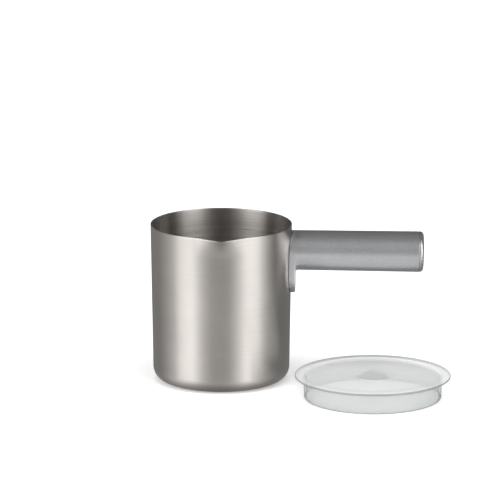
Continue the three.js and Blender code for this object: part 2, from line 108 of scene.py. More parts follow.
def shade_ramp(node: bpy.types.Node, stops: Iterable[tuple[float, Any]]) -> None:
    """Set a colour ramp's stops.

    Args:
        node: The ramp node.
        stops: Positions from 0 to 1, each with a grey value or a linear RGBA colour.
    """
    ramp = node.color_ramp
    stops = list(stops)
    while len(ramp.elements) < len(stops):
        ramp.elements.new(0.5)
    for element, (position, value) in zip(ramp.elements, stops):
        element.position = position
        element.color = (value, value, value, 1.0) if isinstance(value, float) else value


# ---------------------------------------------------------------- finishes
class Grain(Enum):
    """Which way a surface's marks run."""

    ROUND_Z = "turned round the cup's axis"
    EVEN = "the same every way"


@dataclass(frozen=True)
class Finish:
    """A surface made of one main shader, with a pattern in its colour, roughness and bump.

    The pattern is noise whose cell size is in millimetres, so that it starts from a real size.
    """

    name: str
    colour: str
    slot: str
    roughness: float = 0.5
    metallic: float = 0.0
    ior: float = 1.5
    grain: Grain = Grain.EVEN
    cell_mm: float = 0.5
    run: float = 1.0
    colour_change: float = 0.05
    roughness_change: float = 0.05
    bump_mm: float = 0.01
    cloud_mm: float = 30.0
    cloud_change: float = 0.03
    anisotropic: float = 0.0
    clear: float = 0.0
    # The grey painted as shade where a see-through surface turns away, for its dark edge lines.
    grazing_shade_colour: str = "#000000"
    extra: dict[str, Any] = field(default_factory=dict)

    def coordinates(self, tree: bpy.types.NodeTree) -> bpy.types.NodeSocket:
        """Give the pattern's place in millimetres, stretched along the grain.

        Args:
            tree: The material's node tree.

        Returns:
            A vector socket.
        """
        place = add_node(tree, "TexCoord").outputs["Object"]
        along = 1 / (self.cell_mm * MM * self.run)
        across = 1 / (self.cell_mm * MM)
        if self.grain is Grain.EVEN:
            scale = (across, across, across)
            return add_node(tree, "Mapping", {"Vector": place, "Scale": scale}).outputs[0]
        flat = add_node(tree, "VectorMath", {0: place, 1: (1.0, 1.0, 0.0)}, operation="MULTIPLY")
        radius = add_node(tree, "VectorMath", {0: flat.outputs[0]}, operation="LENGTH")
        split = add_node(tree, "SeparateXYZ", {0: place})
        level = {0: split.outputs[2], 1: radius.outputs["Value"]}
        height = add_node(tree, "Math", level, operation="ADD")
        lines = add_node(tree, "Math", {0: height.outputs[0], 1: across}, operation="MULTIPLY")
        turned = add_node(tree, "VectorMath", {0: flat.outputs[0], 3: along}, operation="SCALE")
        back = add_node(tree, "SeparateXYZ", {0: turned.outputs[0]})
        x, y, _ = back.outputs
        return add_node(tree, "CombineXYZ", {0: x, 1: y, 2: lines.outputs[0]}).outputs[0]

    def see_through(
        self,
        tree: bpy.types.NodeTree,
        colour: bpy.types.NodeSocket,
        bump: bpy.types.NodeSocket,
    ) -> dict[str | int, Any]:
        """Make a surface partly see-through, with a painted grey shade, denser, where it turns
        away.

        Args:
            tree: The material's node tree.
            colour: The surface's own colour.
            bump: The surface's bumped normal.

        Returns:
            What goes into the shader's colour and alpha sockets.
        """
        turn = add_node(tree, "LayerWeight", {"Blend": 0.5, "Normal": bump})
        rim = add_node(tree, "ValToRGB", {0: turn.outputs["Facing"]})
        shade_ramp(rim, [(0.0, 1 - self.clear), (0.84, 1 - self.clear), (0.97, 1.0)])
        share = add_node(tree, "ValToRGB", {0: turn.outputs["Facing"]})
        shade_ramp(share, [(0.82, 0.0), (0.96, 1.0)])
        # Painted shade: where the surface turns away, its colour is mixed towards the grey.
        edge_shading = {0: share.outputs[0], 6: colour, 7: linear(self.grazing_shade_colour)}
        mixed = add_node(tree, "Mix", edge_shading, data_type="RGBA").outputs[2]
        return {"Base Color": mixed, "Alpha": rim.outputs[0]}

    def material(self) -> bpy.types.Material:
        """Make the material once, and give the same one on later calls.

        Returns:
            The material.
        """
        found = bpy.data.materials.get(self.name)
        if found:
            return found
        made = bpy.data.materials.new(self.name)
        made.use_nodes = True
        tree = made.node_tree
        tree.nodes.clear()
        where = self.coordinates(tree)
        noise = {"Vector": where, "Scale": 1.0, "Detail": 3.0, "Roughness": 0.6}
        marks = add_node(tree, "TexNoise", noise).outputs["Fac"]
        place = add_node(tree, "TexCoord").outputs["Object"]
        cloud = add_node(
            tree, "TexNoise", {"Vector": place, "Scale": 1 / (self.cloud_mm * MM), "Detail": 2.0}
        )
        red, green, blue, _ = linear(self.colour)
        mixed = add_node(tree, "Math", {0: marks, 1: cloud.outputs["Fac"]}, operation="ADD")
        halved = add_node(tree, "Math", {0: mixed.outputs[0], 1: 0.5}, operation="MULTIPLY")
        swing = 2.5 * (self.colour_change + self.cloud_change)
        shades = [min(1.0, 1 + side * swing) for side in (-1, 1)]
        colour = add_node(tree, "ValToRGB", {0: halved.outputs[0]})
        stops = [(0.3, shades[0]), (0.7, shades[1])]
        shade_ramp(colour, [(at, (red * s, green * s, blue * s, 1.0)) for at, s in stops])
        rough = add_node(
            tree,
            "MapRange",
            {
                "Value": marks,
                "From Min": 0.3,
                "From Max": 0.7,
                "To Min": max(0.02, self.roughness - self.roughness_change),
                "To Max": self.roughness + self.roughness_change,
            },
        )
        relief = {"Height": marks, "Strength": 1.0, "Distance": self.bump_mm * MM}
        bump = add_node(tree, "Bump", relief)
        sockets: dict[str | int, Any] = {
            "Base Color": colour.outputs[0],
            "Roughness": rough.outputs[0],
            "Metallic": self.metallic,
            "IOR": self.ior,
            "Normal": bump.outputs[0],
        }
        if self.anisotropic:
            sockets["Anisotropic"] = self.anisotropic
            sockets["Anisotropic Rotation"] = 0.25
            tangent = add_node(tree, "Tangent", direction_type="RADIAL", axis="Z")
            sockets["Tangent"] = tangent.outputs[0]
        if self.clear:
            sockets.update(self.see_through(tree, colour.outputs[0], bump.outputs[0]))
        sockets.update(self.extra)
        shader = add_node(tree, "BsdfPrincipled", sockets)
        add_node(tree, "OutputMaterial", {"Surface": shader.outputs[0]})
        return made


# Drawn 18/8 stainless steel, brushed while it turns. The marks run round the cup, so a light
# becomes an upright soft band, with faint level lines in it. The marks are about three times
# coarser than real ones, so that they can be seen at this distance.
CUP_STEEL = Finish(
    "stainless_steel_brushed_round",
    "#D8D3CE",
    "brushed_cup_steel",
    roughness=0.35,
    metallic=1.0,
    grain=Grain.ROUND_Z,
    cell_mm=0.45,
    run=160.0,
    colour_change=0.06,
    roughness_change=0.06,
    bump_mm=0.003,
    cloud_change=0.01,
    anisotropic=0.92,
)
# The same steel inside, brushed with a coarser belt, so its level lines show plainly in the shade.
INSIDE_STEEL = replace(
    CUP_STEEL,
    name="stainless_steel_brushed_inside",
    cell_mm=0.8,
    colour_change=0.13,
    roughness_change=0.09,
    bump_mm=0.006,
)
# ABS with a fine metallic paint. The flakes make a soft silver grey with a slight sparkle of grain,
# drawn coarser than real flakes, so that it can be seen at this distance.
HANDLE_PAINT = Finish(
    "abs_painted_satin_silver",
    "#DCDDDF",
    "silver_handle_paint",
    roughness=0.36,
    metallic=0.92,
    cell_mm=1.1,
    colour_change=0.09,
    roughness_change=0.05,
    bump_mm=0.012,
    cloud_mm=60.0,
    cloud_change=0.0,
)
# The cap comes from a polished mould, so its paint lies smoother and its rounding flashes brighter.
CAP_PAINT = replace(
    HANDLE_PAINT,
    name="abs_painted_silver_polished_mould",
    roughness=0.24,
    bump_mm=0.002,
)
# Magnetic 430 steel, blasted with fine beads, flat grey with a soft shine. Its grain and those of
# the finishes below are drawn coarser than real ones too, so that they can be seen.
BASE_STEEL = Finish(
    "ferritic_steel_bead_blasted",
    "#B7B6B4",
    "base_steel",
    roughness=0.5,
    metallic=1.0,
    grain=Grain.ROUND_Z,
    cell_mm=0.4,
    run=40.0,
    bump_mm=0.006,
)
# Bright steel for the post, the spring and the fastenings, as drawn or turned.
BRIGHT_STEEL = Finish(
    "stainless_steel_bright_drawn",
    "#CFCFCE",
    "plain_steel",
    roughness=0.24,
    metallic=1.0,
    cell_mm=0.3,
    bump_mm=0.002,
)
# Glass-filled nylon from a spark-eroded mould, near black with a fine matt skin.
BLACK_NYLON = Finish(
    "nylon_black_moulded",
    "#2B2C2E",
    "black_whisk_plastic",
    roughness=0.48,
    ior=1.53,
    cell_mm=0.35,
    colour_change=0.06,
    bump_mm=0.015,
)
# The same nylon where it is hidden, from a plainer mould, a little greyer and duller.
CORE_NYLON = Finish(
    "nylon_black_core_moulded",
    "#303133",
    "black_nylon",
    roughness=0.55,
    ior=1.53,
    cell_mm=0.4,
    bump_mm=0.02,
)
# Turned acetal, waxy white with faint tool rings.
ACETAL = Finish(
    "acetal_white_turned",
    "#DDDAD0",
    "white_bearing_plastic",
    roughness=0.4,
    ior=1.48,
    grain=Grain.ROUND_Z,
    cell_mm=0.2,
    run=40.0,
    bump_mm=0.004,
)
# Moulded silicone, dull dark grey with a dusty bloom.
SILICONE = Finish(
    "silicone_grey_moulded",
    "#55575A",
    "grey_silicone",
    roughness=0.72,
    ior=1.41,
    cell_mm=0.6,
    bump_mm=0.02,
)
# Nickel plate on sintered magnet, slightly yellow and bright.
NICKEL = Finish(
    "magnet_nickel_plated",
    "#C9C6BE",
    "plated_magnet",
    roughness=0.18,
    metallic=1.0,
    cell_mm=0.8,
    bump_mm=0.003,
)
# Polished clear copolyester, colourless. It is drawn as a partly see-through skin, with a grey
# shade painted where it turns away, for its dark edge lines, and bends little of the light.
CLEAR_PLASTIC = Finish(
    "copolyester_clear_polished",
    "#F6F7F7",
    "clear_plastic",
    roughness=0.06,
    ior=1.54,
    cell_mm=25.0,
    colour_change=0.0,
    roughness_change=0.015,
    bump_mm=0.01,
    cloud_change=0.004,
    clear=0.52,
    # Painted shade: the grey where the lid turns away.
    grazing_shade_colour="#8C8E8E",
    extra={"Transmission Weight": 0.1},
)
# The same plastic at the lid's rim and foot, painted dark grey as shade for their dark edge lines.
EDGE_SHADE_PLASTIC = replace(
    CLEAR_PLASTIC,
    name="copolyester_clear_edge_painted_shade",
    colour="#8E9191",
    clear=0.25,
)
# The skirt, from the mould's drafted side, left a little duller. Its colour is a painted shade,
# a grey that makes it read darker.
SHADED_SKIRT_PLASTIC = replace(
    CLEAR_PLASTIC,
    name="copolyester_clear_skirt_painted_shade",
    colour="#C9CCCC",
    roughness=0.09,
)
# The same plastic where the mark stands proud of the panel, a shade darker to the eye.
MARK_PLASTIC = replace(
    CLEAR_PLASTIC,
    name="copolyester_clear_mark",
    colour="#D8D9D9",
    cell_mm=8.0,
    colour_change=0.01,
    bump_mm=0.002,
    cloud_change=0.0,
    clear=0.35,
)


# ---------------------------------------------------------------- mesh helpers
def arc(centre: Point, radius: float, start: float, end: float, steps: int = 8) -> list[Point]:
    """Give points on an arc.

    Args:
        centre: The arc's centre.
        radius: Its radius.
        start: The first angle, in degrees.
        end: The last angle, in degrees.
        steps: How many chords it has.

    Returns:
        The points, from start to end.
    """
    angles = [math.radians(start + (end - start) * i / steps) for i in range(steps + 1)]
    return [(centre[0] + radius * math.cos(a), centre[1] + radius * math.sin(a)) for a in angles]


def spaced(start: Point, end: Point, steps: int) -> list[Point]:
    """Give points evenly along a straight line, without its two ends.

    Args:
        start: The line's start.
        end: Its end.
        steps: How many equal stretches it has.

    Returns:
        The steps - 1 points between them.
    """
    run, rise = end[0] - start[0], end[1] - start[1]
    shares = [i / steps for i in range(1, steps)]
    return [(start[0] + run * s, start[1] + rise * s) for s in shares]


def skin(
    name: str, rings: Sequence[Ring], place: Matrix | None = None, sharp: float = 32.0
) -> bpy.types.Object:
    """Make a mesh from closed rings, each joined to the next.

    A ring of one point closes an end. Without such ends, the last ring is joined to the first.

    Args:
        name: The new object's name.
        rings: The rings, in order, whose points run the same way.
        place: Where the rings' frame sits in the model's frame.
        sharp: The angle, in degrees, from which an edge is drawn crisp.

    Returns:
        The new object, at the origin, with its place in its mesh.
    """
    vertices = [tuple(v) for ring in rings for v in ring]
    starts = [0]
    for ring in rings:
        starts.append(starts[-1] + len(ring))
    faces: list[tuple[int, ...]] = []
    for k, (near, far) in enumerate(zip(rings, rings[1:])):
        count = max(len(near), len(far))
        a, b = starts[k], starts[k + 1]
        for i in range(count):
            j = (i + 1) % count
            if len(near) == 1:
                faces.append((a, b + i, b + j))
            elif len(far) == 1:
                faces.append((a + i, b, a + j))
            else:
                faces.append((a + i, b + i, b + j, a + j))
    closing = len(rings[0]) > 1 and len(rings[-1]) > 1
    if closing:
        a, b = starts[-2], 0
        count = len(rings[0])
        faces += [(a + i, b + i, b + (i + 1) % count, a + (i + 1) % count) for i in range(count)]
    mesh = bpy.data.meshes.new(name)
    mesh.from_pydata(vertices, [], faces)
    if place is not None:
        mesh.transform(place)
    return dressed_mesh(name, mesh, sharp)


def dressed_mesh(name: str, mesh: bpy.types.Mesh, sharp: float) -> bpy.types.Object:
    """Smooth a closed mesh, turn its faces out and put it in the scene.

    Args:
        name: The new object's name.
        mesh: The mesh.
        sharp: The angle, in degrees, from which an edge is drawn crisp.

    Returns:
        The new object.
    """
    work = bmesh.new()
    work.from_mesh(mesh)
    bmesh.ops.recalc_face_normals(work, faces=work.faces)
    if work.calc_volume(signed=True) < 0:
        bmesh.ops.reverse_faces(work, faces=work.faces)
    work.to_mesh(mesh)
    work.free()
    mesh.shade_smooth()
    mesh.set_sharp_from_angle(angle=math.radians(sharp))
    piece = bpy.data.objects.new(name, mesh)
    bpy.context.scene.collection.objects.link(piece)
    return piece


def turned(
    name: str,
    profile: Sequence[Point],
    segments: int = 128,
    place: Matrix | None = None,
    along_x: bool = False,
    sharp: float = 32.0,
) -> bpy.types.Object:
    """Turn a profile of (radius, height) points about its axis.

    Args:
        name: The new object's name.
        profile: The points. A radius of zero is a point on the axis.
        segments: How many sides the rings have.
        place: Where the axis sits.
        along_x: Whether the axis is +X, and otherwise it is +Z.
        sharp: The angle, in degrees, from which an edge is drawn crisp.

    Returns:
        The new object.
    """
    rings = []
    for radius, height in profile:
        angles = [0.0] if radius == 0 else [2 * math.pi * i / segments for i in range(segments)]
        points = [(radius * math.cos(a), radius * math.sin(a)) for a in angles]
        rings.append([Vector((height, u, v) if along_x else (u, v, height)) for u, v in points])
    return skin(name, rings, place, sharp)


def united(
    piece: bpy.types.Object, others: Sequence[bpy.types.Object], sharp: float = 32.0
) -> None:
    """Join other solids into a piece, so that it stays one closed surface, and remove them.

    Args:
        piece: The solid that grows.
        others: The solids that it takes in.
        sharp: The angle, in degrees, from which an edge is drawn crisp.
    """
    for other in others:
        join = piece.modifiers.new("join", "BOOLEAN")
        join.operation = "UNION"
        join.solver = "MANIFOLD"
        join.object = other
        bpy.context.view_layer.update()
        evaluated = piece.evaluated_get(bpy.context.evaluated_depsgraph_get())
        mesh = bpy.data.meshes.new_from_object(evaluated)
        mesh.materials.clear()
        piece.modifiers.clear()
        piece.data = mesh
        bpy.data.objects.remove(other)
    piece.data.shade_smooth()
    piece.data.set_sharp_from_angle(angle=math.radians(sharp))


def dress(piece: bpy.types.Object, finish: Finish, body: str, *nodes: str) -> bpy.types.Object:
    """Give a piece its finish and its body, and let it stand for CAD nodes.

    Args:
        piece: The piece.
        finish: Its finish.
        body: The body that it rides on.
        *nodes: The CAD nodes that it replaces.

    Returns:
        The same piece.
    """
    if not piece.data.materials:
        piece.data.materials.append(finish.material())
    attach(piece, body)
    if nodes:
        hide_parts(*nodes)
    return piece


def finish_nodes(finish: Finish, names: Iterable[str]) -> None:
    """Give CAD nodes that keep their shape a finish.

    Args:
        finish: The finish.
        names: The nodes' names.
    """
    for name in names:
        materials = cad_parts[name].data.materials
        materials.clear()
        materials.append(finish.material())


# ---------------------------------------------------------------- cup
@dataclass
class Cup:
    """The drawn steel cup, its base disc and the whisk's post."""

    height: float
    rim_radius: float
    foot_radius: float = 44.5 * MM
    corner: float = 9 * MM
    wall: float = 0.8 * MM
    floor_rise: float = 1.8 * MM
    foot_ring: float = 3.5 * MM
    lip_reach: float = 3.6 * MM
    lip_drop: float = 1.0 * MM
    lip_height: float = 14 * MM
    lip_half_angle: float = 21.0
    lip_tip_rounding: float = 0.15
    lip_flare: float = 1.3
    post_radius: float = 2.4 * MM
    segments: int = 288

    def radius_at(self, height: float) -> float:
        """Give the wall's outside radius at a height."""
        share = (height - self.corner) / (self.height - self.corner)
        return self.foot_radius + (self.rim_radius - self.foot_radius) * share

    def lip_pull(self, angle: float, height: float) -> float:
        """Give how far a place is pulled out by the lip.

        Args:
            angle: The place's angle round the cup from the lip, in degrees.
            height: Its height.

        Returns:
            The pull, from 0 to 1.
        """
        away = abs((angle + 180) % 360 - 180) / self.lip_half_angle
        rounding = self.lip_tip_rounding
        run = math.hypot(min(1, away), rounding) - rounding
        plan = (1 - run / (math.hypot(1, rounding) - rounding)) ** self.lip_flare
        rise = max(0.0, (height - self.height + self.lip_height) / self.lip_height)
        return plan * rise * rise

    def profile(self) -> list[Point]:
        """Give the shell's section, from the middle of the underside to the middle of the floor.

        Returns:
            Points as (radius, height).
        """
        step = self.foot_radius - self.corner - self.foot_ring
        inner_step = step + self.wall / 2
        corner = (self.foot_radius - self.corner, self.corner)
        top = self.height - self.wall / 2
        wall_rows, lip_rows = 26, 14
        heights = [self.corner + (top - self.corner) * i / wall_rows for i in range(wall_rows + 1)]
        near_lip = [top - self.lip_height * (1 - i / lip_rows) for i in range(lip_rows)]
        heights = sorted(set(heights + near_lip))
        outside = [(self.radius_at(z), z) for z in heights[1:]]
        inside = [(r - self.wall, z) for r, z in reversed(outside)]
        rim = (self.radius_at(self.height) - self.wall / 2, top)
        bevel, floor = self.floor_rise, self.floor_rise + self.wall
        bend, low_bend, high_bend = 0.5 * MM, 1.0 * MM, 0.6 * MM
        outset, low_outset, high_inset = 0.2 * MM, 0.4 * MM, 0.3 * MM
        return [
            (0.0, self.floor_rise),
            (step - bevel - bend, self.floor_rise),
            *arc((step - bevel - bend, self.floor_rise - bend), bend, 90, 45, 4)[1:],
            *arc((step + outset, bend), bend, 225, 270, 4),
            *arc(corner, self.corner, -90, 0, 24),
            *outside[:-1],
            *arc(rim, self.wall / 2, 0, 180, 8),
            *inside[1:],
            *arc(corner, self.corner - self.wall, 0, -90, 24),
            *arc((inner_step + low_outset, self.wall + low_bend), low_bend, 270, 225, 4),
            *arc((inner_step - bevel - high_inset, floor - high_bend), high_bend, 45, 90, 4),
            (0.0, floor),
        ]

    def shell(self) -> bpy.types.Object:
        """Build the shell, with its lip pulled out of the rim.

        Returns:
            The shell, with one finish outside and one inside.
        """
        rings = []
        for radius, height in self.profile():
            if radius == 0:
                rings.append([Vector((0, 0, height))])
                continue
            ring = []
            for i in range(self.segments):
                angle = 360 * i / self.segments
                pull = self.lip_pull(angle, height)
                out = radius + self.lip_reach * pull
                turn = math.radians(angle - 90)
                drop = self.lip_drop * pull
                ring.append(Vector((out * math.cos(turn), out * math.sin(turn), height - drop)))
            rings.append(ring)
        piece = skin("cup", rings, sharp=50)
        for finish in (CUP_STEEL, INSIDE_STEEL):
            piece.data.materials.append(finish.material())
        for face in piece.data.polygons:
            inward = face.normal.xy.dot(face.center.xy) < 0 or face.normal.z > 0.5
            face.material_index = int(inward and face.center.z > self.floor_rise + self.wall / 2)
        return piece

    def base_disc(self) -> bpy.types.Object:
        """Build the magnetic disc, with turned steps in its face.

        Returns:
            The disc.
        """
        low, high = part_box("heating_disc")
        radius = high.x
        profile = [(0.0, low.z)]
        depth, far_side, width = 0.15 * MM, 0.6 * MM, 0.75 * MM
        for share in (0.33, 0.66):
            groove = radius * share
            profile += [(groove, low.z), (groove + depth, low.z + depth)]
            profile += [(groove + far_side, low.z + depth), (groove + width, low.z)]
        edge = 0.3 * MM
        profile += arc((radius - edge, low.z + edge), edge, -90, 0, 4)
        profile += [(radius, high.z), (0.0, high.z)]
        return turned("base_disc", profile, 160, sharp=25)

    def post(self) -> bpy.types.Object:
        """Build the post that the whisk turns on, with its welded flange.

        Returns:
            The post.
        """
        low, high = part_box("whisk_post")
        flange, radius = high.x, self.post_radius
        top = low.z + 1.2 * MM
        edge, weld, plain_from, crown = 0.3 * MM, 0.4 * MM, 0.8 * MM, 1.2 * MM
        profile = [
            (0.0, low.z),
            (flange, low.z),
            *arc((flange - edge, top - edge), edge, 0, 90, 4),
            (radius + weld, top),
            (radius, top + weld),
            *spaced((radius, top + plain_from), (radius, high.z - crown), 3),
            *arc((radius - crown, high.z - crown), crown, 0, 90, 8),
            (0.0, high.z),
        ]
        return turned("whisk_post_turned", profile, 96)

    def build(self) -> list[bpy.types.Object]:
        """Build and dress the cup's pieces.

        Returns:
            The shell, the disc and the post.
        """
        return [
            dress(self.shell(), CUP_STEEL, "cup", "cup_shell"),
            dress(self.base_disc(), BASE_STEEL, "cup", "heating_disc"),
            dress(self.post(), BRIGHT_STEEL, "cup", "whisk_post"),
        ]


# ---------------------------------------------------------------- handle
@dataclass
class Handle:
    """The handle's outer pieces, in a frame of its own whose +X is square to the wall, outwards.

    Out of sight, the body's back is shallower than the bracket needs, and its bulkhead has no hole
    for the screw. Both of those pieces overlap it there.
    """

    cup: Cup
    below_rim: float = 17.85 * MM
    reach: float = 85.8 * MM
    neck_radius: float = 12.95 * MM
    end_radius: float = 13.25 * MM
    grip_wall: float = 2.1 * MM
    plate_length: float = 41 * MM
    plate_thickness: float = 2.8 * MM
    plate_edge: float = 1.2 * MM
    plate_rim: float = 1.6 * MM
    fillet: float = 1.6 * MM
    cap_thickness: float = 2.8 * MM
    cap_edge: float = 2.4 * MM
    seam: float = 0.12 * MM
    wall_gap: float = 0.12 * MM
    bulkhead_end: float = 10.1 * MM
    nut_room: float = 8.1 * MM
    nut_radius: float = 5.1 * MM
    room_depth: float = 1.1 * MM
    spigot_gap: float = 0.3 * MM
    spigot_length: float = 5.5 * MM
    spigot_wall: float = 2.4 * MM
    back_edge: float = 0.25 * MM
    crisp: float = 0.2 * MM
    segments: int = 288

    def place(self) -> Matrix:
        """Give the handle's frame in the model's frame.

        Returns:
            The matrix from the handle's frame to the model's.
        """
        cup = self.cup
        height = cup.height - self.below_rim
        slope = math.atan2(cup.rim_radius - cup.foot_radius, cup.height - cup.corner)
        start = Matrix.Translation((cup.radius_at(height), 0, height))
        return start @ Matrix.Rotation(slope, 4, "Y")

    def outline(self, angle: float) -> float:
        """Give the plate's outline as a distance from the handle's axis, at an angle in radians.

        Args:
            angle: The angle round the axis, from +Y towards +Z.

        Returns:
            The distance.
        """
        radius = self.neck_radius
        across, up = math.cos(angle), math.sin(angle)
        if up >= 0:
            return radius
        lower = 2 * radius - self.plate_length
        side = radius / max(1e-6, abs(across))
        if side * up >= lower:
            return side
        return lower * up + math.sqrt(radius**2 - (lower * across) ** 2)

    def wall_at(self, across: float) -> float:
        """Give how far the cup's wall lies behind the handle's frame, at a distance to the side."""
        radius = self.cup.radius_at(self.cup.height - self.below_rim)
        return math.sqrt(radius**2 - across**2) - radius

    def behind(self, distance: float, angle: float) -> float:
        """Give where the body's back lies, at a distance and an angle from the handle's axis."""
        return self.wall_at(distance * math.cos(angle)) + self.wall_gap

    def back(self, outer: float, angle: float) -> list[Point]:
        """Give the section of the body's back, from the nut's room to the plate's side.

        Args:
            outer: The plate's outline at this angle, as a distance from the axis.
            angle: The angle round the handle's axis, in radians.

        Returns:
            Points as (x, distance from the axis).
        """
        rim, edge = outer - self.plate_rim, self.back_edge
        return [
            (self.nut_room, self.nut_radius),
            (self.behind(self.nut_radius, angle) + self.room_depth, self.nut_radius),
            (self.behind(rim, angle) + self.room_depth, rim),
            (self.behind(rim, angle), rim),
            (self.behind(outer - edge, angle), outer - edge),
            (self.behind(outer, angle) + edge * 0.3, outer - edge * 0.3),
            (self.behind(outer, angle) + edge, outer),
        ]

    def section(self, angle: float) -> list[Point]:
        """Give the body's section at an angle, from behind to the bulkhead.

        Args:
            angle: The angle round the handle's axis, in radians, from +Y towards +Z.

        Returns:
            Points as (x, distance from the axis), as many at every angle.
        """
        outer, neck, end = self.outline(angle), self.neck_radius, self.end_radius
        fade = min(1.0, (outer - neck) / (self.plate_edge + self.fillet))
        edge, fillet = self.plate_edge * fade, self.fillet * fade
        face, crisp = self.plate_thickness, self.crisp
        grip_end = self.reach - self.cap_thickness - self.seam
        bore = neck - self.grip_wall
        path = self.back(outer, angle)
        path += spaced(path[-1], (face - edge, outer), 3)
        path += arc((face - edge, outer - edge), edge, 90, 0, 8)
        path += spaced((face, outer - edge), (face, neck + fillet), 4)
        path += arc((face + fillet, neck + fillet), fillet, 180, 270, 8)
        path += spaced((face + fillet, neck), (grip_end - 2 * crisp, end), 16)
        path += [
            (grip_end - 2 * crisp, end),
            (grip_end - crisp, end),
            (grip_end - crisp * 0.3, end - crisp * 0.3),
            (grip_end, end - crisp),
            (grip_end, bore),
            (self.bulkhead_end, bore),
        ]
        return path

    def body(self) -> bpy.types.Object:
        """Build the plate and the grip as one skin.

        Returns:
            The body.
        """
        angles = [2 * math.pi * i / self.segments for i in range(self.segments)]
        sections = [self.section(a) for a in angles]
        rings: list[Ring] = [[Vector((self.nut_room, 0, 0))]]
        for k in range(len(sections[0])):
            rings.append(
                [
                    Vector((s[k][0], s[k][1] * math.cos(a), s[k][1] * math.sin(a)))
                    for a, s in zip(angles, sections)
                ]
            )
        rings.append([Vector((self.bulkhead_end, 0, 0))])
        return skin("handle", rings, self.place(), sharp=40)

    def end_cap(self) -> bpy.types.Object:
        """Build the cap in the handle's end, with its rounded edge and its spigot.

        The spigot has no groove, so the seal on it overlaps it, out of sight.

        Returns:
            The cap.
        """
        face, crisp = self.reach - self.cap_thickness, self.crisp
        spigot = self.neck_radius - self.grip_wall - self.spigot_gap
        spigot_end = face - self.spigot_length
        corner = (self.end_radius - self.cap_edge, self.reach - self.cap_edge)
        profile = [
            (0.0, face),
            (spigot - self.spigot_wall, face),
            (spigot - self.spigot_wall, spigot_end),
            (spigot, spigot_end),
            (spigot, face),
            (self.end_radius - crisp, face),
            (self.end_radius - crisp * 0.3, face + crisp * 0.3),
            (self.end_radius, face + crisp),
            *arc(corner, self.cap_edge, 0, 90, 16),
            *spaced((corner[0], self.reach), (0.0, self.reach), 6),
            (0.0, self.reach),
        ]
        place = self.place()
        return turned("handle_end_cap", profile, self.segments, place, along_x=True, sharp=40)

    def build(self) -> list[bpy.types.Object]:
        """Build and dress the handle's pieces.

        Returns:
            The body and the cap.
        """
        fixings = ("handle_bracket", "bracket_nut", "tie_screw", "plain_washer", "lock_washer")
        finish_nodes(BRIGHT_STEEL, fixings)
        finish_nodes(SILICONE, ("wall_gasket", "cap_seal"))
        finish_nodes(CORE_NYLON, ("grip_core",))
        return [
            dress(self.body(), HANDLE_PAINT, "cup", "handle_body"),
            dress(self.end_cap(), CAP_PAINT, "cup", "end_cap"),
        ]


